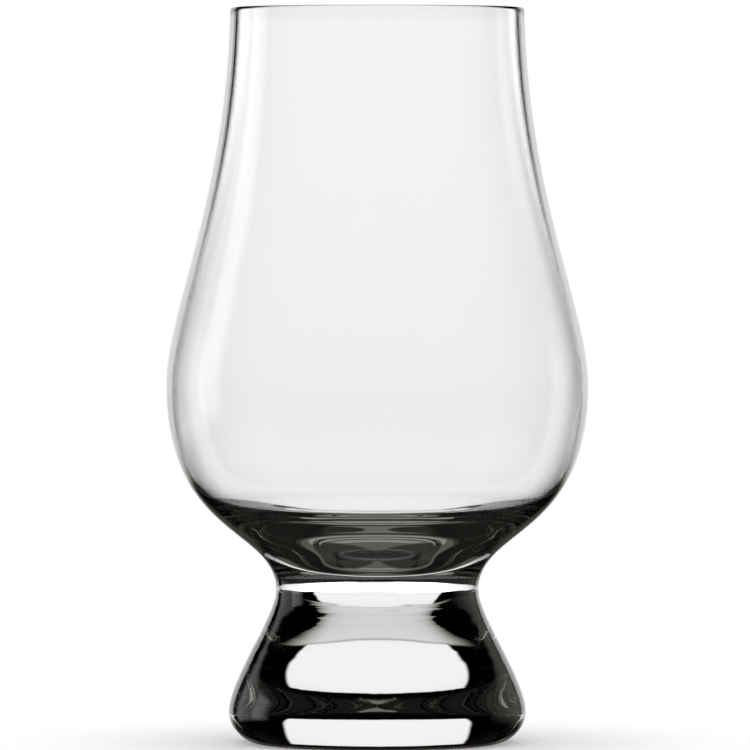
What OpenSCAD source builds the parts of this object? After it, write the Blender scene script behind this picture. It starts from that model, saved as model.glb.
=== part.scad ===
// Whisky nosing glass: a tulip bowl on a short solid foot, all in clear crystal glass.
// The origin is the centre of the resting ring, on the table, and +Z runs up to the lip.
// Both pieces are bodies of revolution, so every outline is half of a section, as [radius, height].

/* [Heights] */
// Height of the foot, from the table to the waist where the bowl is joined on
foot_h = 23.8; // [18:0.1:32]
// Height from the waist up to the belly, the widest place of the bowl
cup_h = 32.2; // [28:0.1:38]
// Height of the chimney, from the belly up to the lip
chimney_h = 59; // [36:0.5:90]

/* [Bowl] */
// Outer diameter at the lip
rim_d = 46; // [36:0.5:58]
// Outer diameter at the belly
belly_d = 66; // [60:0.5:74]
// Thickness of the wall at the lip
rim_wall = 1.15; // [0.8:0.05:2]
// Thickness of the wall at the belly
belly_wall = 0.85; // [0.8:0.05:1.4]
// Thickness of the solid glass between the waist and the inner bottom of the bowl
bottom_t = 4.9; // [3.5:0.1:6.5]

/* [Foot] */
// Diameter of the waist, where the foot and the bowl are joined
waist_d = 31.7; // [28:0.1:36]
// Diameter of the foot at its widest place
foot_d = 46.5; // [40:0.5:58]
// Height of that widest place above the table
foot_edge_h = 4.85; // [3:0.05:8]
// Outer diameter of the flat ring that the glass rests on
ring_d = 38; // [28:0.5:39]
// Width of the flat ring
ring_w = 1.6; // [0.8:0.1:3]
// Depth of the hollow inside the ring, which keeps the rest of the underside off the table
hollow_h = 0.8; // [0.3:0.1:2]

/* [Shape of the curves] */
// Lean of the lip away from the axis, in degrees
lip_lean = 1.3; // [0:0.1:6]
// Pull of the chimney's curve at the lip, as a share of the chimney's height
lip_pull_share = 0.51; // [0.3:0.01:0.6]
// Pull of the chimney's curve at the belly, as a share of the chimney's height
chimney_pull_share = 0.2; // [0.1:0.01:0.4]
// Pull of the cup's outside at the belly, as a share of the cup's height
cup_pull_share = 0.75; // [0.7:0.01:0.78]
// Pull of the cup's outside at the waist, as a share of the cup's height
waist_pull_share = 0.31; // [0.25:0.01:0.36]
// Pull of the foot's flare at the waist, as a share of the flare's height
flare_top_share = 0.2; // [0.1:0.01:0.4]
// Pull of the foot's flare at its widest place, as a share of the flare's height
flare_low_share = 0.26; // [0.1:0.01:0.5]
// Pull of the foot's rounded edge at its widest place, as a share of the edge's height
edge_drop_share = 0.55; // [0.4:0.01:0.8]
// Pull of the foot's rounded edge at the ring, as a share of how far it stands out
edge_reach_share = 0.38; // [0.3:0.01:0.8]
// Pull of the hollow's wall at the ring, as a share of the ring's inner radius
hollow_side_share = 0.15; // [0.05:0.01:0.3]
// Pull of the hollow's flat middle, as a share of the ring's inner radius
hollow_top_share = 0.6; // [0.4:0.01:0.8]

/* [Inside of the cup] */
// Place of the shoulder along the cup's outside, from 0 at the belly to 1 at the waist
shoulder_place_share = 0.305; // [0.27:0.005:0.34]
// Thickness of the wall at the shoulder, where the inside starts to turn in
shoulder_wall = 0.9; // [0.8:0.05:1.2]
// Lean of the inside at the shoulder, in degrees from upright
shoulder_lean = 34; // [30:1:38]
// Place of the heel along the cup's outside, from 0 at the belly to 1 at the waist
heel_place_share = 0.435; // [0.41:0.005:0.46]
// Thickness of the wall at the heel, where the inside turns to the floor
heel_wall = 1.35; // [1.2:0.05:1.8]
// Lean of the inside at the heel, in degrees from upright
heel_lean = 58; // [54:1:62]
// Radius of the sunk middle of the floor, as a share of the heel's inner radius
sink_reach_share = 0.63; // [0.57:0.01:0.68]
// Height of that middle's edge over its lowest place, as a share of the heel's height over it
sink_rise_share = 0.77; // [0.7:0.01:0.82]
// Lean of the inside at the edge of the sunk middle, in degrees from upright
sink_lean = 73; // [69:1:76]
// Pull of the inside at the belly, as a share of the straight way to the shoulder
side_pull_share = 0.27; // [0.2:0.01:0.35]
// Pull of the inside at the shoulder, as a share of the straight way to either side
shoulder_pull_share = 0.3; // [0.25:0.01:0.35]
// Pull of the inside at the heel, as a share of the straight way to either side
heel_pull_share = 0.33; // [0.25:0.01:0.38]
// Pull of the inside at the edge of the sunk middle, as a share of the straight way to either side
sink_pull_share = 0.37; // [0.3:0.01:0.42]
// Pull of the inside at its lowest place, as a share of the straight way to that edge
bottom_pull_share = 0.52; // [0.4:0.01:0.6]

/* [Hidden] */
// Steps in each long curve of an outline, and in the small round of the lip
curve_steps = 16;
lip_steps = 8;
$fn = 120;

// Heights above the table
waist_z = foot_h;
belly_z = waist_z + cup_h;
glass_h = belly_z + chimney_h;
bottom_z = waist_z + bottom_t;

// The lip is a half round as wide as the wall, and the chimney's curves end where it starts
lip_r = rim_wall / 2;
lip_z = glass_h - lip_r;
lip_lean_share = tan(lip_lean);

// Radii at the places that the outlines run through
rim_r = rim_d / 2;
belly_r = belly_d / 2;
waist_r = waist_d / 2;
foot_r = foot_d / 2;
ring_r = ring_d / 2;
ring_inner_r = ring_r - ring_w;
well_r = belly_r - belly_wall;

// A point of the cubic curve from a to d, which leaves a towards b and arrives at d from c
function curve_point(a, b, c, d, t) =
    a * pow(1 - t, 3) + b * 3 * t * pow(1 - t, 2) + c * 3 * t * t * (1 - t) + d * pow(t, 3);
function curve(a, b, c, d) =
    [for (i = [0 : curve_steps]) curve_point(a, b, c, d, i / curve_steps)];
// The direction of that curve at t, as long as it happens to be
function curve_run(a, b, c, d, t) =
    (b - a) * pow(1 - t, 2) + (c - b) * 2 * t * (1 - t) + (d - c) * t * t;
function backwards(line) = [for (i = [len(line) - 1 : -1 : 0]) line[i]];

// The chimney from the lip down to the belly. Its outside and its inside share one rule.
function chimney_line(top_r, low_r) =
    let (fall = lip_z - belly_z, pull = fall * lip_pull_share)
    curve([top_r, lip_z],
          [top_r + pull * lip_lean_share, lip_z - pull],
          [low_r, belly_z + fall * chimney_pull_share],
          [low_r, belly_z]);

// The cup's outside from the belly down to the waist, as its two ends and its two pulls
cup_ends = [[belly_r, belly_z],
            [belly_r, belly_z - cup_h * cup_pull_share],
            [waist_r, waist_z + cup_h * waist_pull_share],
            [waist_r, waist_z]];
function cup_line() = curve(cup_ends[0], cup_ends[1], cup_ends[2], cup_ends[3]);

// The place inside the cup that is so thick a wall away from a place of its outside
function behind_cup(place_share, wall) =
    let (outside = curve_point(cup_ends[0], cup_ends[1], cup_ends[2], cup_ends[3], place_share),
         run = curve_run(cup_ends[0], cup_ends[1], cup_ends[2], cup_ends[3], place_share))
    outside + wall * [run[1], -run[0]] / norm(run);

// A curve from a down to b. At each end it leans by so many degrees from upright, and it is
// pulled along that direction by a share of the straight way from a to b.
function leaning_curve(a, lean_a, share_a, b, lean_b, share_b) =
    let (way = norm(b - a), pull_a = way * share_a, pull_b = way * share_b)
    curve(a,
          a - pull_a * [sin(lean_a), cos(lean_a)],
          b + pull_b * [sin(lean_b), cos(lean_b)],
          b);

// The cup's inside: from the belly to the shoulder, round the heel, over the floor to the edge
// of its sunk middle, and down to the lowest place on the axis
function well_line() =
    let (upright = 0, level = 90,
         belly = [well_r, belly_z],
         shoulder = behind_cup(shoulder_place_share, shoulder_wall),
         heel = behind_cup(heel_place_share, heel_wall),
         bottom = [0, bottom_z],
         sink = [heel[0] * sink_reach_share, bottom_z + (heel[1] - bottom_z) * sink_rise_share])
    concat(leaning_curve(belly, upright, side_pull_share,
                         shoulder, shoulder_lean, shoulder_pull_share),
           leaning_curve(shoulder, shoulder_lean, shoulder_pull_share,
                         heel, heel_lean, heel_pull_share),
           leaning_curve(heel, heel_lean, heel_pull_share,
                         sink, sink_lean, sink_pull_share),
           leaning_curve(sink, sink_lean, sink_pull_share,
                         bottom, level, bottom_pull_share));

// The half round of the lip, from the inside over the top to the outside
function lip_line() =
    [for (i = [1 : lip_steps - 1])
        let (turn = 180 - 180 * i / lip_steps)
        [rim_r - lip_r + lip_r * cos(turn), lip_z + lip_r * sin(turn)]];

// The foot's outside from the waist down to its widest place
function flare_line() =
    let (fall = waist_z - foot_edge_h)
    curve([waist_r, waist_z],
          [waist_r, waist_z - fall * flare_top_share],
          [foot_r, foot_edge_h + fall * flare_low_share],
          [foot_r, foot_edge_h]);

// The foot's rounded edge from its widest place down to the resting ring
function edge_line() =
    curve([foot_r, foot_edge_h],
          [foot_r, foot_edge_h * (1 - edge_drop_share)],
          [ring_r + (foot_r - ring_r) * edge_reach_share, 0],
          [ring_r, 0]);

// The shallow dome of the underside, from the ring up to the axis
function hollow_line() =
    curve([ring_inner_r, 0],
          [ring_inner_r * (1 - hollow_side_share), hollow_h],
          [ring_inner_r * hollow_top_share, hollow_h],
          [0, hollow_h]);

// The blown bowl: chimney, belly and cup, with the solid bottom that is joined to the foot
module bowl() {
    color([0.87, 0.93, 0.94, 0.4])
        rotate_extrude()
            polygon(concat(backwards(well_line()),
                           backwards(chimney_line(rim_r - rim_wall, well_r)),
                           lip_line(),
                           chimney_line(rim_r, belly_r),
                           cup_line(),
                           [[0, waist_z]]));
}

// The pressed foot: solid glass that flares from the waist to the rounded edge
module foot() {
    color([0.8, 0.88, 0.9, 0.6])
        rotate_extrude()
            polygon(concat([[0, waist_z]],
                           flare_line(),
                           edge_line(),
                           hollow_line()));
}

bowl();
foot();
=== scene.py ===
# %% [markdown]
# # A crystal nosing glass
#
# A nosing glass is a small tulip of clear crystal on a short solid foot. It has no colour, no
# pattern and no paint, so everything that the eye sees in it is the room behind it, bent by the
# glass. Two things decide the picture: the exact outline of the outside and of the inside, and
# where the room is bright and where it is dark.
#
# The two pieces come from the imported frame, so the lesson starts by loading that and by noting
# its box, which the finished glass may not leave.

# %% Load the frame
import math

import bpy
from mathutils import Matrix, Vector


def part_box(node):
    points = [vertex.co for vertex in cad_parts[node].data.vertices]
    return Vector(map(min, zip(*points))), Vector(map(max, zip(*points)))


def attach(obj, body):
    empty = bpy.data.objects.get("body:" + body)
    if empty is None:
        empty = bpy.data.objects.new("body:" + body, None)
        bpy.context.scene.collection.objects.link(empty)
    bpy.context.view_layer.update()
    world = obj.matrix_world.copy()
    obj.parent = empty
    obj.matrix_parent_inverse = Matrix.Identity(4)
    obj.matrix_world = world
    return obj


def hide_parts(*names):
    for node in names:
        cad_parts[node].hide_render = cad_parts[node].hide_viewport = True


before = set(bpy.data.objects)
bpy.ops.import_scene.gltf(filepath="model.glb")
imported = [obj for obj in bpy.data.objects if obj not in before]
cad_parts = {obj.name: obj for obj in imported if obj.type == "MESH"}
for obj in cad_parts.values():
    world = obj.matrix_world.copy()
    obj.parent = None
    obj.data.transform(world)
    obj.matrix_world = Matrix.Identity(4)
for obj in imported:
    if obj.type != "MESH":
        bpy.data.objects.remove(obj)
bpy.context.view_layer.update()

# %% [markdown]
# ## The driving sizes
#
# A glass like this is a body of revolution, so a size is either a height or a radius. The height
# of the glass, its widest radius, the radius of the foot and the height of the waist are read
# from the frame. The sizes that a box can't give, such as the radius of the lip or the thickness
# of the wall, are the maker's own numbers, written once here in millimetres.

# %% Sizes from the frame
MM = 0.001
bowl_low, bowl_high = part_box("bowl")
foot_low, foot_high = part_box("foot")
GLASS_H = bowl_high[2] / MM
BELLY_R = bowl_high[0] / MM
WAIST_Z = bowl_low[2] / MM
FOOT_R = foot_high[0] / MM
print("glass", round(GLASS_H, 2), "belly", round(BELLY_R, 2), "waist", round(WAIST_Z, 2))

# %% Sizes of the bowl, in millimetres
CUP_H = 32.2
BELLY_Z = WAIST_Z + CUP_H
RIM_R = 23.0
RIM_WALL = 1.15
BELLY_WALL = 0.85
BOTTOM_T = 4.9
BOTTOM_Z = WAIST_Z + BOTTOM_T
INNER_BELLY_R = BELLY_R - BELLY_WALL
LIP_R = RIM_WALL / 2
LIP_Z = GLASS_H - LIP_R
print("belly at", round(BELLY_Z, 2), "and bottom at", round(BOTTOM_Z, 2))

# %% Sizes of the foot, in millimetres
WAIST_R = 15.85
FOOT_EDGE_Z = 4.85
RING_R = 19.0
RING_W = 1.6
HOLLOW_H = 0.8
print("resting ring from", round(RING_R - RING_W, 2), "to", RING_R)

# %% [markdown]
# ## An outline from a few pulled curves
#
# The outline of blown glass has no corners: the heat rounds them all. A cubic curve suits that,
# because its two ends are places that can be measured, and its two pulls say how long the curve
# keeps the direction that it starts and ends with. Each stretch of the glass is one such curve,
# from the lip to the belly, from the belly to the waist, and so on. A list of traced points
# would look the same but nobody could change it.

# %% The pulled curve
SAME_PLACE = 1e-6


def curve_point(corners, t):
    """The point at t, from 0 to 1, of the cubic curve with these ends and pulls."""
    shares = ((1 - t) ** 3, 3 * t * (1 - t) ** 2, 3 * t * t * (1 - t), t ** 3)
    return tuple(sum(s * c[k] for s, c in zip(shares, corners)) for k in (0, 1))


def curve(start, start_pull, end_pull, end, steps):
    """Points of the cubic curve that leaves start towards start_pull and comes in from end_pull."""
    corners = (start, start_pull, end_pull, end)
    return [curve_point(corners, i / steps) for i in range(steps + 1)]


def leaning_curve(start, start_lean, start_share, end, end_lean, end_share, steps):
    """A curve going down and inwards. Each end leans so many degrees from upright."""
    way = math.dist(start, end)
    lean_a = math.radians(start_lean)
    lean_b = math.radians(end_lean)
    pull_a = way * start_share
    pull_b = way * end_share
    return curve(
        start,
        (start[0] - pull_a * math.sin(lean_a), start[1] - pull_a * math.cos(lean_a)),
        (end[0] + pull_b * math.sin(lean_b), end[1] + pull_b * math.cos(lean_b)),
        end,
        steps,
    )


def join(*lines):
    """One line out of several that meet end to end, with each shared point kept once."""
    whole = list(lines[0])
    for line in lines[1:]:
        whole += line[1:] if math.dist(whole[-1], line[0]) < SAME_PLACE else line
    return whole


print("points closer than", SAME_PLACE, "mm count as one")

# %% [markdown]
# ## The chimney, the lip and the cup
#
# The outside and the inside of the chimney follow one rule, only from other radii, so the wall
# stays even from the belly to the lip. The lip is a half round, because a blown glass is cut
# and then fire polished.

# %% The chimney and the lip
LIP_LEAN = math.tan(math.radians(1.3))
LIP_PULL_SHARE = 0.51
CHIMNEY_PULL_SHARE = 0.2
CHIMNEY_STEPS = 60
LIP_STEPS = 14


def chimney_line(top_r, low_r):
    """The chimney from the lip down to the belly."""
    drop = LIP_Z - BELLY_Z
    pull = drop * LIP_PULL_SHARE
    return curve(
        (top_r, LIP_Z),
        (top_r + pull * LIP_LEAN, LIP_Z - pull),
        (low_r, BELLY_Z + drop * CHIMNEY_PULL_SHARE),
        (low_r, BELLY_Z),
        CHIMNEY_STEPS,
    )


def lip_line():
    """The half round from the inside of the wall over the top to the outside."""
    turns = [math.pi * (1 - i / LIP_STEPS) for i in range(LIP_STEPS + 1)]
    return [(RIM_R - LIP_R + LIP_R * math.cos(a), LIP_Z + LIP_R * math.sin(a)) for a in turns]


print("chimney", round(LIP_Z - BELLY_Z, 2), "mm high")

# %% The outside of the cup
CUP_PULL_SHARE = 0.75
WAIST_PULL_SHARE = 0.31
CUP_STEPS = 64
CUP_ENDS = (
    (BELLY_R, BELLY_Z),
    (BELLY_R, BELLY_Z - CUP_H * CUP_PULL_SHARE),
    (WAIST_R, WAIST_Z + CUP_H * WAIST_PULL_SHARE),
    (WAIST_R, WAIST_Z),
)


def cup_line():
    """The outside from the belly down to the waist."""
    return curve(*CUP_ENDS, CUP_STEPS)


print("half way down the cup its radius is", round(curve_point(CUP_ENDS, 0.5)[0], 2))

# %% [markdown]
# ## The inside of the cup
#
# Nobody can lay a ruler on the inside, and the glass in front of it bends every line, so its
# shape was found by trying: which inside makes the dark bands and the bright windows that the
# photograph shows above and below the waist? The wall stays thin down to a shoulder, thickens
# to a heel, and turns there to a nearly flat floor with a sunk middle. The shoulder and the heel
# are given by how thick the wall is behind a place of the outside, which is how a glassmaker
# would say it.

# %% Three places on the inside
SHOULDER_PLACE = 0.305
SHOULDER_WALL = 0.9
HEEL_PLACE = 0.435
HEEL_WALL = 1.35
SINK_REACH_SHARE = 0.63
SINK_RISE_SHARE = 0.77
NEAR = 1e-4


def behind_cup(place, wall):
    """The point that lies so thick a wall behind a place of the outside, 0 belly to 1 waist."""
    a, b = (curve_point(CUP_ENDS, t) for t in (place - NEAR, place + NEAR))
    run = math.dist(a, b)
    middle = curve_point(CUP_ENDS, place)
    return (middle[0] + wall * (b[1] - a[1]) / run, middle[1] - wall * (b[0] - a[0]) / run)


shoulder = behind_cup(SHOULDER_PLACE, SHOULDER_WALL)
heel = behind_cup(HEEL_PLACE, HEEL_WALL)
sink = (heel[0] * SINK_REACH_SHARE, BOTTOM_Z + (heel[1] - BOTTOM_Z) * SINK_RISE_SHARE)
print("shoulder", [round(v, 2) for v in shoulder], "heel", [round(v, 2) for v in heel])

# %% The line through them
# Each stop is a place, the lean of the line there in degrees from upright, and its pull.
WELL_STEPS = 32
WELL_STOPS = (
    ((INNER_BELLY_R, BELLY_Z), 0, 0.27),
    (shoulder, 34, 0.3),
    (heel, 58, 0.33),
    (sink, 73, 0.37),
    ((0.0, BOTTOM_Z), 90, 0.52),
)


def well_line():
    """The inside from the belly down to its lowest place on the axis."""
    pairs = zip(WELL_STOPS, WELL_STOPS[1:])
    return join(*(leaning_curve(*start, *end, WELL_STEPS) for start, end in pairs))


print("points on the inside of the cup:", len(well_line()))

# %% [markdown]
# ## The foot
#
# The foot flares from the waist to a rounded edge and turns in to the flat ring that it rests
# on. Inside the ring the underside is a very shallow hollow, so that the glass never rocks.
# At the waist both pieces keep a sliver of wall that is exactly upright: the surface then has
# the same direction on both sides of the hot joint, and no line shows there.

# %% The outline of the foot
WELD_BAND = 0.05
FLARE_TOP_SHARE = 0.2
FLARE_LOW_SHARE = 0.26
EDGE_DROP_SHARE = 0.55
EDGE_REACH_SHARE = 0.38
HOLLOW_SIDE_SHARE = 0.15
HOLLOW_TOP_SHARE = 0.6
FLARE_STEPS = 90
EDGE_STEPS = 40
HOLLOW_STEPS = 40


def foot_outline():
    """The foot from the middle of the weld, down the flare, round the edge and to the axis."""
    top_z = WAIST_Z - WELD_BAND
    drop = WAIST_Z - FOOT_EDGE_Z
    ring_inner = RING_R - RING_W
    reach = FOOT_R - RING_R
    flare = curve(
        (WAIST_R, top_z),
        (WAIST_R, top_z - drop * FLARE_TOP_SHARE),
        (FOOT_R, FOOT_EDGE_Z + drop * FLARE_LOW_SHARE),
        (FOOT_R, FOOT_EDGE_Z),
        FLARE_STEPS,
    )
    edge = curve(
        (FOOT_R, FOOT_EDGE_Z),
        (FOOT_R, FOOT_EDGE_Z * (1 - EDGE_DROP_SHARE)),
        (RING_R + reach * EDGE_REACH_SHARE, 0.0),
        (RING_R, 0.0),
        EDGE_STEPS,
    )
    hollow = curve(
        (ring_inner, 0.0),
        (ring_inner * (1 - HOLLOW_SIDE_SHARE), HOLLOW_H),
        (ring_inner * HOLLOW_TOP_SHARE, HOLLOW_H),
        (0.0, HOLLOW_H),
        HOLLOW_STEPS,
    )
    return join([(0.0, WAIST_Z), (WAIST_R, WAIST_Z)], flare, edge, hollow)


print("outline points of the foot:", len(foot_outline()))

# %% [markdown]
# The outline of the bowl is one closed walk: from its bottom up the inside, over the lip, down
# the outside and back along the weld.


# %% The outline of the bowl
def bowl_inside():
    """The inside of the bowl from its bottom up to the lip."""
    return join(chimney_line(RIM_R - RIM_WALL, INNER_BELLY_R), well_line())[::-1]


def bowl_outside():
    """The outside of the bowl from the lip down to the weld, with the upright sliver."""
    line = join(chimney_line(RIM_R, BELLY_R), cup_line())
    return [(r, max(z, WAIST_Z + WELD_BAND)) for r, z in line]


weld_line = [(WAIST_R, WAIST_Z), (0.0, WAIST_Z)]
bowl_outline = join(bowl_inside(), lip_line(), bowl_outside(), weld_line)
print("outline points of the bowl:", len(bowl_outline))

# %% [markdown]
# ## Helpers for node trees
#
# Geometry trees and shader trees both hold arithmetic. One short helper makes a Math node from
# numbers or from other nodes' outputs, so that a formula reads almost as it would on paper. The
# others build on it: a product, the largest of several values, a soft step up and one down, and
# a blend of two numbers or of two colours.


# %% Arithmetic in nodes
def feed(tree, socket, value):
    """Gives a socket a number, a colour or a link from another node's output."""
    if isinstance(value, bpy.types.NodeSocket):
        tree.links.new(value, socket)
    else:
        socket.default_value = value


def calc(tree, operation, *values):
    """A Math node's output. Each value is a number or another node's output."""
    node = tree.nodes.new("ShaderNodeMath")
    node.operation = operation
    for socket, value in zip(node.inputs, values):
        feed(tree, socket, value)
    return node.outputs[0]


def chain(tree, operation, values):
    """One value out of several, worked together two by two."""
    total = values[0]
    for value in values[1:]:
        total = calc(tree, operation, total, value)
    return total


def product(tree, *values):
    """The product of several numbers or outputs."""
    return chain(tree, "MULTIPLY", values)


def largest(tree, *values):
    """The largest of several numbers or outputs."""
    return chain(tree, "MAXIMUM", values)


print("arithmetic ready")


# %% Steps and blends in nodes
MIX_SOCKETS = {"FLOAT": (0, 2, 3, 0), "RGBA": (0, 6, 7, 2)}


def rise(tree, value, start, end):
    """0 below start and 1 above end, with a smooth step between them."""
    node = tree.nodes.new("ShaderNodeMapRange")
    node.interpolation_type = "SMOOTHSTEP"
    feed(tree, node.inputs["Value"], value)
    feed(tree, node.inputs["From Min"], start)
    feed(tree, node.inputs["From Max"], end)
    return node.outputs["Result"]


def fall(tree, value, start, end):
    """1 below start and 0 above end."""
    return calc(tree, "SUBTRACT", 1.0, rise(tree, value, start, end))


def blend(tree, share, first, second, kind="FLOAT"):
    """The first value where share is 0 and the second where it is 1."""
    node = tree.nodes.new("ShaderNodeMix")
    node.data_type = kind
    *places, result = MIX_SOCKETS[kind]
    for place, value in zip(places, (share, first, second)):
        feed(tree, node.inputs[place], value)
    return node.outputs[result]


def blend_colour(tree, share, first, second):
    """The first colour where share is 0 and the second where it is 1."""
    return blend(tree, share, first, second, "RGBA")


def colour(value):
    """A grey, or a red, green and blue, as the four numbers that a socket wants."""
    rgb = value if isinstance(value, tuple) else (value,) * 3
    return (*rgb, 1.0)


print("white is", colour(1.0))

# %% [markdown]
# ## A lathe in Geometry Nodes
#
# Turning an outline round the axis is a rule, so Geometry Nodes do it. A flat grid is made with
# one row for each point of the outline and one column for each step round the axis, and each
# point of the grid is then moved to its place on the glass: the row says which outline point it
# follows, and the column gives the angle. Merging the points that fall together closes the seam
# and the two poles. Doing it this way, instead of with a Screw modifier, lets the tree add the
# faint rings that the press leaves on the neck, where real glass is never quite even.

# %% Sockets of the lathe
LATHE_INPUTS = (
    ("Outline", "NodeSocketGeometry"),
    ("Columns", "NodeSocketInt"),
    ("Ring depth", "NodeSocketFloat"),
    ("Ring spacing", "NodeSocketFloat"),
    ("Ring low", "NodeSocketFloat"),
    ("Ring high", "NodeSocketFloat"),
    ("Seed", "NodeSocketInt"),
    ("Inside rows", "NodeSocketInt"),
    ("Weld height", "NodeSocketFloat"),
    ("Glass", "NodeSocketMaterial"),
    ("Weld", "NodeSocketMaterial"),
)


def empty_lathe():
    """A Geometry Nodes tree with its sockets, and its input and output nodes."""
    tree = bpy.data.node_groups.new("Lathe", "GeometryNodeTree")
    for name, kind in LATHE_INPUTS:
        tree.interface.new_socket(name, in_out="INPUT", socket_type=kind)
    tree.interface.new_socket("Turned", in_out="OUTPUT", socket_type="NodeSocketGeometry")
    given = tree.nodes.new("NodeGroupInput")
    result = tree.nodes.new("NodeGroupOutput")
    return tree, given.outputs, result.inputs


print("sockets:", ", ".join(name for name, kind in LATHE_INPUTS))


# %% Place on the outline and angle round the axis
def split(tree, vector):
    """The three parts of a vector."""
    parts = tree.nodes.new("ShaderNodeSeparateXYZ")
    tree.links.new(vector, parts.inputs[0])
    return parts.outputs


def grid_places(tree, given):
    """The grid, and for each of its points the radius, the height, the angle and the side."""
    node = tree.nodes.new
    link = tree.links.new
    count = node("GeometryNodeAttributeDomainSize")
    link(given["Outline"], count.inputs[0])
    columns = calc(tree, "ADD", given["Columns"], 1.0)
    grid = node("GeometryNodeMeshGrid")
    link(count.outputs["Point Count"], grid.inputs["Vertices X"])
    link(columns, grid.inputs["Vertices Y"])
    index = node("GeometryNodeInputIndex").outputs[0]
    halfway = calc(tree, "ADD", index, 0.5)
    row = calc(tree, "FLOOR", calc(tree, "DIVIDE", halfway, columns))
    column = calc(tree, "SUBTRACT", index, calc(tree, "MULTIPLY", row, columns))
    place = node("GeometryNodeSampleIndex")
    place.data_type = "FLOAT_VECTOR"
    link(given["Outline"], place.inputs["Geometry"])
    link(node("GeometryNodeInputPosition").outputs[0], place.inputs["Value"])
    link(row, place.inputs["Index"])
    parts = split(tree, place.outputs[0])
    angle = calc(tree, "MULTIPLY", column, calc(tree, "DIVIDE", math.tau, given["Columns"]))
    inside = calc(tree, "LESS_THAN", row, given["Inside rows"])
    return grid.outputs["Mesh"], parts["X"], parts["Z"], angle, inside


print("a row for each outline point, a column for each angle")

# %% The faint rings on the neck
RING_FADE = 0.55
RING_DETAIL = 2.0


def ring_push(tree, given, height, angle):
    """How far the surface stands out or in: noise that changes fast upwards, slowly round."""
    across = calc(tree, "COSINE", angle)
    along = calc(tree, "SINE", angle)
    upward = calc(tree, "DIVIDE", height, given["Ring spacing"])
    where = tree.nodes.new("ShaderNodeCombineXYZ")
    for socket, value in zip(where.inputs, (across, along, upward)):
        feed(tree, socket, value)
    noise = tree.nodes.new("ShaderNodeTexNoise")
    noise.noise_dimensions = "4D"
    feed(tree, noise.inputs["Vector"], where.outputs[0])
    feed(tree, noise.inputs["W"], given["Seed"])
    feed(tree, noise.inputs["Scale"], 1.0)
    feed(tree, noise.inputs["Detail"], RING_DETAIL)
    middle = calc(tree, "MULTIPLY", calc(tree, "ADD", given["Ring low"], given["Ring high"]), 0.5)
    width = calc(tree, "SUBTRACT", given["Ring high"], given["Ring low"])
    half = calc(tree, "MULTIPLY", width, 0.5)
    off = calc(tree, "DIVIDE", calc(tree, "SUBTRACT", height, middle), half)
    share = fall(tree, calc(tree, "ABSOLUTE", off), RING_FADE, 1.0)
    swing = calc(tree, "SUBTRACT", noise.outputs[0], 0.5)
    return product(tree, swing, 2.0, share, given["Ring depth"])


print("the rings fade out beyond", RING_FADE, "of their half height")

# %% Move the grid into place
RING_LEAST_R = 8 * MM
MERGE_WITHIN = 0.001 * MM


def turned_grid(tree, given):
    """The grid laid round the axis and closed, with its inside marked for the material."""
    grid, radius, height, angle, inside = grid_places(tree, given)
    on_wall = calc(tree, "GREATER_THAN", radius, RING_LEAST_R)
    push = calc(tree, "MULTIPLY", ring_push(tree, given, height, angle), on_wall)
    radius = calc(tree, "ADD", radius, push)
    place = tree.nodes.new("ShaderNodeCombineXYZ")
    feed(tree, place.inputs["X"], calc(tree, "MULTIPLY", radius, calc(tree, "COSINE", angle)))
    feed(tree, place.inputs["Y"], calc(tree, "MULTIPLY", radius, calc(tree, "SINE", angle)))
    feed(tree, place.inputs["Z"], height)
    marked = tree.nodes.new("GeometryNodeStoreNamedAttribute")
    marked.data_type = "FLOAT"
    marked.domain = "POINT"
    feed(tree, marked.inputs["Name"], "inside")
    feed(tree, marked.inputs["Value"], inside)
    feed(tree, marked.inputs["Geometry"], grid)
    moved = tree.nodes.new("GeometryNodeSetPosition")
    feed(tree, moved.inputs["Geometry"], marked.outputs[0])
    feed(tree, moved.inputs["Position"], place.outputs[0])
    merged = tree.nodes.new("GeometryNodeMergeByDistance")
    feed(tree, merged.inputs["Distance"], MERGE_WITHIN)
    feed(tree, merged.inputs["Geometry"], moved.outputs[0])
    return merged.outputs[0]


print("rings only where the radius is over", RING_LEAST_R / MM, "mm")

# %% Smooth it and give it its materials
CREASE = math.radians(40)
WELD_WITHIN = 0.01 * MM


def smoothed(tree, mesh):
    """The mesh with smooth faces and with a crease wherever it bends sharply."""
    soft = tree.nodes.new("GeometryNodeSetShadeSmooth")
    soft.domain = "FACE"
    feed(tree, soft.inputs["Geometry"], mesh)
    crease = tree.nodes.new("GeometryNodeSetShadeSmooth")
    crease.domain = "EDGE"
    bend = tree.nodes.new("GeometryNodeInputMeshEdgeAngle").outputs["Unsigned Angle"]
    feed(tree, crease.inputs["Shade Smooth"], False)
    feed(tree, crease.inputs["Selection"], calc(tree, "GREATER_THAN", bend, CREASE))
    feed(tree, crease.inputs["Geometry"], soft.outputs[0])
    return crease.outputs[0]


def weld_faces(tree, given):
    """1 on the faces that lie flat at the height of the weld."""
    height = split(tree, tree.nodes.new("GeometryNodeInputPosition").outputs[0])["Z"]
    off = calc(tree, "SUBTRACT", height, given["Weld height"])
    return calc(tree, "LESS_THAN", calc(tree, "ABSOLUTE", off), WELD_WITHIN)


def dressed(tree, given, mesh):
    """The mesh in glass, with the weld's own finish on the weld."""
    glassy = tree.nodes.new("GeometryNodeSetMaterial")
    feed(tree, glassy.inputs["Geometry"], mesh)
    feed(tree, glassy.inputs["Material"], given["Glass"])
    welded = tree.nodes.new("GeometryNodeSetMaterial")
    feed(tree, welded.inputs["Geometry"], glassy.outputs[0])
    feed(tree, welded.inputs["Material"], given["Weld"])
    feed(tree, welded.inputs["Selection"], weld_faces(tree, given))
    return welded.outputs[0]


print("edges that bend by more than", round(math.degrees(CREASE)), "degrees are sharp")


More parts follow.
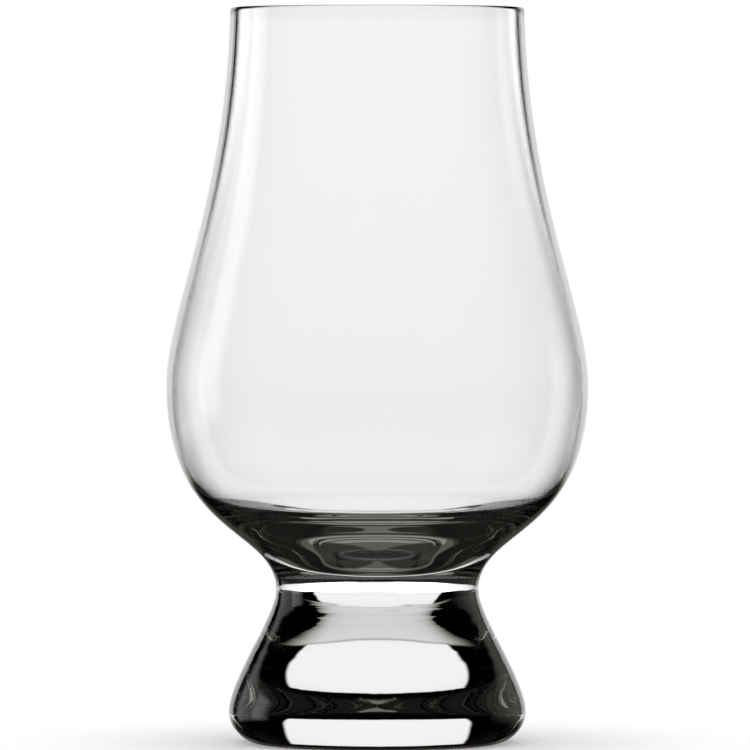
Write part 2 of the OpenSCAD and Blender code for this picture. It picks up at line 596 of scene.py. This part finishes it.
# %% The whole lathe
def make_lathe():
    """The finished tree: turn, close, smooth, realize, and give each face its material."""
    tree, given, result = empty_lathe()
    real = tree.nodes.new("GeometryNodeRealizeInstances")
    feed(tree, real.inputs[0], smoothed(tree, turned_grid(tree, given)))
    feed(tree, result["Turned"], dressed(tree, given, real.outputs[0]))
    return tree


lathe = make_lathe()
print("lathe nodes:", len(lathe.nodes))

# %% [markdown]
# ## Clear crystal
#
# Clear glass is the Principled shader with full transmission. Crystal bends light a little more
# than window glass does, so its index is 1.52. Three quiet things keep it from looking computed.
# The outside is painted greyer at grazing angles: real glass loses light there, and this painted
# shade in the colour stands in for it, which Layer Weight can say without knowing the camera. The
# inside has its own, narrower painted dark line, found with the Fresnel node, and it is softer near
# the lip. And the surface has very fine waves, as a bump.
#
# The floor of the bowl is painted nearly black for light that comes from within the glass, a
# painted shade: in the photograph the thick bottom lets almost nothing out through it. The foot
# mirrors less than the bowl does, because its specular tint dims its reflections, a painted shade,
# and the bowl has a trace of roughness, which the studio needs below to tell it from the foot.

# %% Painted shade on the outside and on the inside
GLASS_INDEX = 1.52
# painted shade: the spans and greys below darken the glass's colour at grazing angles, in a line
# inside the wall, near the lip and on the bowl's floor seen from below
OUTSIDE_SPAN = (0.52, 0.7)
INSIDE_SPAN = (0.75, 0.95)
LIP_SPAN = (0.12, 0.5)
LIP_GREY = 0.6
LIP_SHADE_FROM = 75 * MM
LIP_SHADE_TO = 100 * MM
# painted shade: the colour of the bowl's floor where it is seen from within the glass
PAINTED_FLOOR_SHADE = 0.012


def ramp(tree, value, span, grey):
    """White that turns to a grey as value crosses the span."""
    node = tree.nodes.new("ShaderNodeValToRGB")
    for end, position, level in zip(node.color_ramp.elements, span, (1.0, grey)):
        end.position = position
        end.color = colour(level)
    tree.links.new(value, node.inputs["Fac"])
    return node.outputs["Color"]


def outside_painted_shade(tree, painted_edge_grey):
    """Clear, with painted shade: greyer where the outside is seen at a grazing angle."""
    facing = tree.nodes.new("ShaderNodeLayerWeight")
    feed(tree, facing.inputs["Blend"], 0.5)
    # painted shade: the outside's colour turns grey where it is seen at a grazing angle
    return ramp(tree, facing.outputs["Facing"], OUTSIDE_SPAN, painted_edge_grey)


def inside_painted_shade(tree, height, painted_line_grey, floor_top):
    """Clear with a thin painted dark line, and painted nearly black from below on the floor of the
    bowl.
    """
    grazing = tree.nodes.new("ShaderNodeFresnel")
    feed(tree, grazing.inputs["IOR"], GLASS_INDEX)
    # painted shade: a thin dark line in the inside's colour, and a wider grey one near the lip
    line = ramp(tree, grazing.outputs[0], INSIDE_SPAN, painted_line_grey)
    near_lip = ramp(tree, grazing.outputs[0], LIP_SPAN, LIP_GREY)
    wall_shade = blend_colour(tree, rise(tree, height, LIP_SHADE_FROM, LIP_SHADE_TO), line, near_lip)
    on_floor = calc(tree, "LESS_THAN", height, floor_top)
    from_glass = tree.nodes.new("ShaderNodeNewGeometry").outputs["Backfacing"]
    # painted shade: the bowl's floor is painted nearly black where it is met from within the glass
    return blend_colour(tree, product(tree, on_floor, from_glass), wall_shade, colour(PAINTED_FLOOR_SHADE))


print("index of the glass:", GLASS_INDEX)

# %% The glass material
WAVE_DETAIL = 2.0


def waves(tree, place, height, scale):
    """The direction of a surface with fine waves in it."""
    noise = tree.nodes.new("ShaderNodeTexNoise")
    feed(tree, noise.inputs["Scale"], scale)
    feed(tree, noise.inputs["Detail"], WAVE_DETAIL)
    feed(tree, noise.inputs["Vector"], place)
    bump = tree.nodes.new("ShaderNodeBump")
    feed(tree, bump.inputs["Strength"], 1.0)
    feed(tree, bump.inputs["Distance"], height)
    feed(tree, bump.inputs["Height"], noise.outputs["Fac"])
    return bump.outputs["Normal"]


def glass_material(name, painted_edge_grey, painted_line_grey, floor_top, wave_height, wave_scale, painted_reflection_share, haze):
    """Clear glass painted greyer at grazing angles, with a painted darker line inside the wall."""
    material = bpy.data.materials.new(name)
    material.use_nodes = True
    tree = material.node_tree
    shader = tree.nodes["Principled BSDF"].inputs
    feed(tree, shader["Roughness"], haze)
    feed(tree, shader["IOR"], GLASS_INDEX)
    feed(tree, shader["Transmission Weight"], 1.0)
    # painted shade: the specular tint dims the reflections, to a quarter on the foot
    feed(tree, shader["Specular Tint"], colour(painted_reflection_share))
    place = tree.nodes.new("ShaderNodeTexCoord").outputs["Object"]
    side = tree.nodes.new("ShaderNodeAttribute")
    side.attribute_name = "inside"
    outer = outside_painted_shade(tree, painted_edge_grey)
    inner = inside_painted_shade(tree, split(tree, place)["Z"], painted_line_grey, floor_top)
    feed(tree, shader["Base Color"], blend_colour(tree, side.outputs["Fac"], outer, inner))
    feed(tree, shader["Normal"], waves(tree, place, wave_height, wave_scale))
    return material


bowl_glass = glass_material(
    "Blown crystal",
    painted_edge_grey=0.4,
    painted_line_grey=0.2,
    floor_top=37 * MM,
    wave_height=0.0006 * MM,
    wave_scale=200,
    painted_reflection_share=1.0,
    haze=0.01,
)
# the foot's glass carries painted shade: a grey outside edge, a dark inner line and reflections
# dimmed to a quarter
foot_glass = glass_material(
    "Pressed crystal",
    painted_edge_grey=0.62,
    painted_line_grey=0.25,
    floor_top=0.0,
    wave_height=0.008 * MM,
    wave_scale=320,
    painted_reflection_share=0.25,
    haze=0.0,
)
print("nodes in the glass of the bowl:", len(bowl_glass.node_tree.nodes))

# %% [markdown]
# ## The weld
#
# Where the hot bowl and the hot foot were joined there is no surface any more: light goes
# straight through. The two pieces still need closed ends to be solids, so those two discs get a
# finish that can't be seen at all.


# %% The finish of the weld
def unseen_material(name):
    """A finish that light passes through unbent."""
    material = bpy.data.materials.new(name)
    material.use_nodes = True
    material.node_tree.nodes["Principled BSDF"].inputs["Alpha"].default_value = 0.0
    return material


weld_finish = unseen_material("Hot joint")
print("finish of the weld:", weld_finish.name)

# %% [markdown]
# ## Turning the two pieces
#
# Each outline becomes a thin line of mesh points in the plane of X and Z. The lathe's inputs are
# set by the identifiers of its sockets, the object is evaluated once, and the result is kept as
# a plain mesh without the modifier.

# %% Turn one piece
COLUMNS = 256
RING_DEPTH = 0.07
RING_SPACING = 2.6
RING_LOW = 11.0
RING_HIGH = 29.0
SEED = 7


def turn(name, outline, inside_rows, finish):
    """A closed piece of glass from its outline, of which the first rows are the inside."""
    line = bpy.data.meshes.new(name + "_outline")
    points = [(r * MM, 0.0, z * MM) for r, z in outline]
    line.from_pydata(points, [(i, i + 1) for i in range(len(points) - 1)], [])
    blank = bpy.data.objects.new(name + "_blank", line)
    bpy.context.scene.collection.objects.link(blank)
    modifier = blank.modifiers.new("Lathe", "NODES")
    modifier.node_group = lathe
    values = {
        "Columns": COLUMNS,
        "Ring depth": RING_DEPTH * MM,
        "Ring spacing": RING_SPACING * MM,
        "Ring low": RING_LOW * MM,
        "Ring high": RING_HIGH * MM,
        "Seed": SEED,
        "Inside rows": inside_rows,
        "Weld height": WAIST_Z * MM,
        "Glass": finish,
        "Weld": weld_finish,
    }
    for item in lathe.interface.items_tree:
        if item.in_out == "INPUT" and item.name in values:
            modifier[item.identifier] = values[item.name]
    graph = bpy.context.evaluated_depsgraph_get()
    mesh = bpy.data.meshes.new_from_object(blank.evaluated_get(graph))
    mesh.name = name
    bpy.data.objects.remove(blank)
    bpy.data.meshes.remove(line)
    piece = bpy.data.objects.new(name, mesh)
    bpy.context.scene.collection.objects.link(piece)
    return piece


print("rings", RING_DEPTH, "mm deep from", RING_LOW, "to", RING_HIGH, "mm above the table")

# %% [markdown]
# A closed solid has to point outwards all over. The signed volume says so: it is positive when
# every face looks out, and it is also the volume of the glass, which is worth a look.

# %% Measure a piece
CM3_IN_M3 = 1e6


def volume(mesh):
    """The signed volume of a closed mesh, in cubic centimetres."""
    mesh.calc_loop_triangles()
    total = 0.0
    for triangle in mesh.loop_triangles:
        a, b, c = (mesh.vertices[i].co for i in triangle.vertices)
        total += a.dot(b.cross(c)) / 6
    return total * CM3_IN_M3


def report(piece):
    """Prints the size of a piece's mesh and whether it is closed and turned outwards."""
    edges = {}
    for polygon in piece.data.polygons:
        for key in polygon.edge_keys:
            edges[key] = edges.get(key, 0) + 1
    open_edges = sum(1 for count in edges.values() if count != 2)
    filled = round(volume(piece.data), 2)
    triangles = len(piece.data.loop_triangles)
    print(piece.name, triangles, "triangles,", open_edges, "open edges,", filled, "cm3")


# %% [markdown]
# The bowl is blown: its inside rows come first in the outline, so that the material can tell the
# inside of the wall from the outside. The foot is pressed and solid, and has no inside.

# %% The bowl
blown_bowl = turn("blown_bowl", bowl_outline, len(bowl_inside()), bowl_glass)
report(blown_bowl)

# %% The foot
pressed_foot = turn("pressed_foot", foot_outline(), 0, foot_glass)
report(pressed_foot)

# %% [markdown]
# ## Riding on the frame
#
# Each piece stands for its CAD node: the node stays in the physics, and the turned piece is
# what shows.

# %% Hand the pieces to the frame
for piece, node, slot in (
    (blown_bowl, "bowl", "bowl_glass"),
    (pressed_foot, "foot", "foot_glass"),
):
    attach(piece, "root")
    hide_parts(node)
    print(piece.name, "stands for", node)

# %% [markdown]
# ## The camera
#
# The photograph was taken with a long lens, a little above the belly of the glass. The lens is
# worked out from the distance and from how many millimetres one pixel of the photograph covers
# at the axis of the glass.

# %% Place the camera
PIXELS = 750
MM_PER_PIXEL = 0.1564
AXIS_PIXEL = 377.3
CAMERA_DISTANCE = 1300.0
CAMERA_HEIGHT = 92.4
AIM_HEIGHT = 57.52
SENSOR = 36.0

camera_data = bpy.data.cameras.new("Camera")
camera = bpy.data.objects.new("Camera", camera_data)
bpy.context.scene.collection.objects.link(camera)
bpy.context.scene.camera = camera
camera.location = (0.0, -CAMERA_DISTANCE * MM, CAMERA_HEIGHT * MM)
sight = Vector((0.0, 0.0, AIM_HEIGHT * MM)) - camera.location
camera.rotation_euler = sight.to_track_quat("-Z", "Y").to_euler()
camera_data.sensor_width = SENSOR
camera_data.lens = SENSOR * sight.length / (PIXELS * MM_PER_PIXEL * MM)
camera_data.shift_x = -(AXIS_PIXEL - PIXELS / 2) / PIXELS
camera_data.clip_start = 0.01
camera_data.clip_end = 50.0
print("lens", round(camera_data.lens, 1), "mm")

# %% [markdown]
# ## The studio
#
# Clear glass is photographed against a bright panel in a dark room. Straight through the thin
# wall the eye sees the panel, so the bowl is nearly white. The solid foot is a lens that gathers
# a very wide view: where it looks at the panel there is a white window, and where it looks past
# the edge of the panel it is black. Those windows only come out right when the panel has the
# right width and height, so they are driving sizes here, as angles seen from the glass.
#
# The world holds that studio. Azimuth 0 is straight behind the glass and elevation 0 is level.

# %% Directions in the world
scene = bpy.context.scene
world = bpy.data.worlds.new("Studio")
scene.world = world
world.use_nodes = True
studio = world.node_tree
studio.nodes.clear()
axes = split(studio, studio.nodes.new("ShaderNodeTexCoord").outputs["Generated"])
azimuth = calc(studio, "ARCTAN2", axes["X"], axes["Y"])
elevation = calc(studio, "ARCSINE", axes["Z"])
aside = calc(studio, "ABSOLUTE", azimuth)
print("straight behind the glass is +Y")


# %% Borders and patches, given in degrees
def rise_deg(angle, start, end):
    """0 where the angle is below start and 1 where it is above end."""
    return rise(studio, angle, math.radians(start), math.radians(end))


def fall_deg(angle, start, end):
    """1 where the angle is below start and 0 where it is above end."""
    return fall(studio, angle, math.radians(start), math.radians(end))


def patch(turned, middle, half_width, low, high, soft):
    """1 inside a patch of the studio, with a soft border."""
    shifted = calc(studio, "SUBTRACT", turned, math.radians(middle))
    return product(
        studio,
        fall_deg(calc(studio, "ABSOLUTE", shifted), half_width - soft, half_width + soft),
        rise_deg(elevation, low - soft, low + soft),
        fall_deg(elevation, high - soft, high + soft),
    )


print("a patch is a middle, a half width, a low and a high border, and their softness")

# %% [markdown]
# The main panel stands behind the glass, and a paler shelf runs under it, where the sweep of the
# table catches the light. The shelf gets darker towards its ends. Three narrower panels stand at
# the sides and in front, so that the glass also looks right to somebody who walks round it.
# Straight under the foot the table itself is bright, and a little further out it is nearly dark.

# %% The panel behind and its shelf
PANEL_HALF = 28.5
PANEL_TOP = 15.5
PANEL_LOW = -34.0
PANEL_LEVEL = 0.92
SHELF_HALF = 50.0
SHELF_FADE = 20.0
SHELF_LOW = -50.0
SHELF_LEVEL = 0.72

main_panel = patch(azimuth, 0, PANEL_HALF, PANEL_LOW, PANEL_TOP, 1.0)
main_shelf = product(
    studio,
    patch(azimuth, 0, SHELF_HALF, SHELF_LOW, PANEL_LOW, 1.5),
    fall_deg(aside, SHELF_FADE, SHELF_HALF),
    SHELF_LEVEL,
)
print("main panel:", 2 * PANEL_HALF, "degrees wide,", PANEL_TOP - PANEL_LOW, "high")

# %% The other panels and the table under the foot
SIDE_PANEL_HALF = 20.0
TABLE_LEVEL = 0.07
UNDER_FOOT_LEVEL = 0.65

side_panel = patch(aside, 90, SIDE_PANEL_HALF, PANEL_LOW, PANEL_TOP, 1.0)
front_panel = patch(aside, 180, SIDE_PANEL_HALF, PANEL_LOW, PANEL_TOP, 1.0)
straight_down = fall_deg(elevation, -84, -76)
table_level = blend(studio, straight_down, TABLE_LEVEL, UNDER_FOOT_LEVEL)
table_glow = product(studio, fall_deg(elevation, -62, -50), table_level)
through_light = largest(
    studio,
    product(studio, main_panel, PANEL_LEVEL),
    main_shelf,
    side_panel,
    front_panel,
    table_glow,
)
print("level of the table straight under the foot:", UNDER_FOOT_LEVEL)

# %% [markdown]
# ## Strips of light
#
# Tall soft strips at the left and right draw the long highlights down the bowl. Only the outside
# of the glass may mirror them: inside the wall they would show up a second time. They end a
# little above the height of the panel, so that the foot's flare doesn't catch them.

# %% The strips
LEFT_STRIP_LEVEL = 2.3
LEFT_WING_LEVEL = 0.7
RIGHT_WING_LEVEL = 0.4

strips = largest(
    studio,
    product(studio, patch(azimuth, -74, 9, -9, 25, 6.0), LEFT_STRIP_LEVEL),
    product(studio, patch(azimuth, -54, 14, -12, 25, 4.0), LEFT_WING_LEVEL),
    product(studio, patch(azimuth, 54, 22, -12, 25, 12.0), RIGHT_WING_LEVEL),
)
strip_light = product(studio, strips, fall_deg(elevation, 17.5, 21.0))
print("brightest strip:", LEFT_STRIP_LEVEL)

# %% [markdown]
# ## Which ray sees what
#
# Light Path tells the rays apart. Transmission Depth counts the surfaces that a ray went through:
# two for a solid piece or for one wall, and four for both walls of the bowl. Glossy Depth counts
# how often it was mirrored, inside the glass or outside. A last hint comes from the finish: the
# foot is perfectly smooth and the blown bowl isn't quite, and Is Singular Ray is 1 only for light
# that left a perfectly smooth surface. That is how a wall seen through the mouth, which is two
# surfaces like the foot, still looks clear.

# %% Sort the rays
path = studio.nodes.new("ShaderNodeLightPath").outputs


def deeper(depth, count):
    """1 for rays that did something more than count times."""
    return calc(studio, "GREATER_THAN", path[depth], count + 0.5)


def opposite(share):
    """1 where share is 0, and 0 where it is 1."""
    return calc(studio, "SUBTRACT", 1.0, share)


mirrored = deeper("Glossy Depth", 0)
mirrored_twice = deeper("Glossy Depth", 1)
not_thrice = opposite(deeper("Glossy Depth", 2))
bent = deeper("Transmission Depth", 0)
both_walls = deeper("Transmission Depth", 3)
by_wall = largest(studio, both_walls, opposite(path["Is Singular Ray"]))
scattered = deeper("Diffuse Depth", 0)
print("a ray that wasn't bent or mirrored sees an even room")

# %% [markdown]
# Light that was mirrored once inside the glass shows the upper half of the main panel and, in
# the thick bottom, the dim sweep of the table behind. Light that was mirrored more often shows
# very little: a quarter of the panel's light and a few dim places above, below and in front.
# They fill the dark bottom of the bowl with faint shapes instead of plain black.

# %% Light mirrored once
SWEEP_LEVEL = 0.26
HIGH_LEVEL = 0.2

high_sides = product(studio, patch(aside, 88, 28, 15, 95, 5), both_walls, HIGH_LEVEL)
once_light = largest(
    studio,
    product(studio, main_panel, rise_deg(elevation, -15, -3)),
    product(studio, patch(azimuth, 0, 60, -12, 95, 5), both_walls),
    product(studio, patch(azimuth, 0, 14, -45, -30, 3), SWEEP_LEVEL),
    high_sides,
)
print("level of the sweep:", SWEEP_LEVEL)

# %% Light mirrored more often
DEEP_SHARE = 0.25
DEEP_LEVEL = 0.13
DEEP_LEAST = 0.008
GLINT_LEVEL = 0.28

dim_places = largest(
    studio,
    product(studio, patch(aside, 180, 45, -95, -50, 5), not_thrice),
    patch(azimuth, 0, 17, -95, -30, 5),
    patch(azimuth, 0, 17, 28, 95, 5),
)
deep_light = largest(
    studio,
    product(studio, main_panel, DEEP_SHARE),
    product(studio, dim_places, DEEP_LEVEL),
    DEEP_LEAST,
    product(studio, patch(azimuth, 0, 15, 30, 60, 4), not_thrice, GLINT_LEVEL),
    high_sides,
)
print("least level:", DEEP_LEAST)

# %% All mirrored light
DIM_MIDDLE = 0.1
DIM_SIDES = 0.03

mirrored_level = largest(
    studio,
    blend(studio, mirrored_twice, once_light, deep_light),
    product(studio, opposite(bent), strip_light),
    product(studio, patch(azimuth, 0, 17, -82, -8, 4), DIM_MIDDLE),
    product(studio, patch(azimuth, 0, 60, -82, -32, 5), DIM_SIDES),
)
print("dim light from low behind:", DIM_MIDDLE, "in the middle and", DIM_SIDES, "at the sides")

# %% [markdown]
# Through the clear walls the studio is white and a touch brighter above the horizon. Close to the
# silhouette the wall is looked at along its length and bends the light far to the side. Real
# studios put a bright edge there, so that this line stays a thin grey and doesn't turn black.

# %% Light through the clear walls
CLEAR_LOW = 1.0
CLEAR_HIGH = 1.1
LEFT_LIFT = 2.0
RIGHT_LIFT = 2.2

left_lift = product(studio, fall_deg(azimuth, -15.0, -6.5), LEFT_LIFT)
right_lift = product(studio, rise_deg(azimuth, 8.0, 14.5), RIGHT_LIFT)
lift = product(
    studio,
    calc(studio, "ADD", left_lift, right_lift),
    rise_deg(elevation, -12, -6),
    fall_deg(aside, 32, 44),
)
clear_level = blend(studio, rise_deg(elevation, -3, 3), CLEAR_LOW, CLEAR_HIGH)
clear_light = calc(studio, "ADD", clear_level, lift)
print("extra light at the edges:", LEFT_LIFT, "left and", RIGHT_LIFT, "right")

# %% [markdown]
# What the camera sees past the glass is white, and the light on the floor comes evenly from all
# round. Where the studio is dim it is a little warmer, as the thick glass of the photograph is.

# %% Put the studio together
ROOM_LEVEL = 1.0
DIM_COLOUR = (1.0, 0.97, 0.84)
DIM_BELOW = 0.1
WHITE_ABOVE = 0.75

level = blend(studio, by_wall, through_light, clear_light)
level = blend(studio, mirrored, level, mirrored_level)
level = blend(studio, largest(studio, mirrored, bent), ROOM_LEVEL, level)
level = blend(studio, scattered, level, ROOM_LEVEL)
level = blend(studio, path["Is Camera Ray"], level, ROOM_LEVEL)
dimness = fall(studio, level, DIM_BELOW, WHITE_ABOVE)
background = studio.nodes.new("ShaderNodeBackground")
warmth = blend_colour(studio, dimness, colour(1.0), colour(DIM_COLOUR))
feed(studio, background.inputs["Color"], warmth)
feed(studio, background.inputs["Strength"], level)
studio_output = studio.nodes.new("ShaderNodeOutputWorld")
feed(studio, studio_output.inputs["Surface"], background.outputs[0])
print("studio nodes:", len(studio.nodes))

# %% [markdown]
# ## The floor
#
# The floor is a plain pale disc. Near the glass it is an ordinary matt surface that takes the
# shadow. Further off it fades to the white of the background, so no horizon shows. Light that
# went through the glass or was mirrored by it doesn't meet the floor at all: it goes on to the
# studio, which already has the pale shelf in the right place.

# %% Make the floor
FLOOR_R = 4.0
FLOOR_DROP = 0.02 * MM
FLOOR_CORNERS = 96

floor_mesh = bpy.data.meshes.new("floor")
turns = [math.tau * i / FLOOR_CORNERS for i in range(FLOOR_CORNERS)]
floor_mesh.from_pydata(
    [(FLOOR_R * math.cos(a), FLOOR_R * math.sin(a), -FLOOR_DROP) for a in turns],
    [],
    [list(range(FLOOR_CORNERS))],
)
floor = bpy.data.objects.new("floor", floor_mesh)
scene.collection.objects.link(floor)
print("floor", 2 * FLOOR_R, "m across")

# %% Finish of the floor
FLOOR_LEVEL = 0.97
WHITE_FROM = 0.02
WHITE_TO = 0.065

floor_material = bpy.data.materials.new("Pale floor")
floor_material.use_nodes = True
floor_tree = floor_material.node_tree
floor_tree.nodes.clear()


def mix_shaders(share, first, second):
    """The first shader where share is 0 and the second where it is 1."""
    node = floor_tree.nodes.new("ShaderNodeMixShader")
    for socket, value in zip(node.inputs, (share, first.outputs[0], second.outputs[0])):
        feed(floor_tree, socket, value)
    return node


matt = floor_tree.nodes.new("ShaderNodeBsdfDiffuse")
feed(floor_tree, matt.inputs["Color"], colour(FLOOR_LEVEL))
glow = floor_tree.nodes.new("ShaderNodeEmission")
feed(floor_tree, glow.inputs["Strength"], 1.0)
gone = floor_tree.nodes.new("ShaderNodeBsdfTransparent")
reach = floor_tree.nodes.new("ShaderNodeVectorMath")
reach.operation = "LENGTH"
spot = floor_tree.nodes.new("ShaderNodeTexCoord").outputs["Object"]
feed(floor_tree, reach.inputs[0], spot)
far = rise(floor_tree, reach.outputs["Value"], WHITE_FROM, WHITE_TO)
rays = floor_tree.nodes.new("ShaderNodeLightPath").outputs
let_by = largest(floor_tree, rays["Is Transmission Ray"], rays["Is Glossy Ray"])
finish = mix_shaders(let_by, mix_shaders(far, matt, glow), gone)
floor_output = floor_tree.nodes.new("ShaderNodeOutputMaterial")
feed(floor_tree, floor_output.inputs["Surface"], finish.outputs[0])
floor_mesh.materials.append(floor_material)
print("floor matt within", WHITE_FROM / MM, "mm and white beyond", WHITE_TO / MM, "mm")

# %% [markdown]
# ## View settings
#
# The plain Standard view shows a colour as it is written. A ray in the foot may be mirrored a
# dozen times before it comes out, so the glass gets more bounces than usual.

# %% Set the view and the bounces
BOUNCES = 24
scene.view_settings.view_transform = "Standard"
scene.cycles.max_bounces = BOUNCES
scene.cycles.transmission_bounces = BOUNCES
scene.cycles.glossy_bounces = BOUNCES
print("bounces:", BOUNCES)
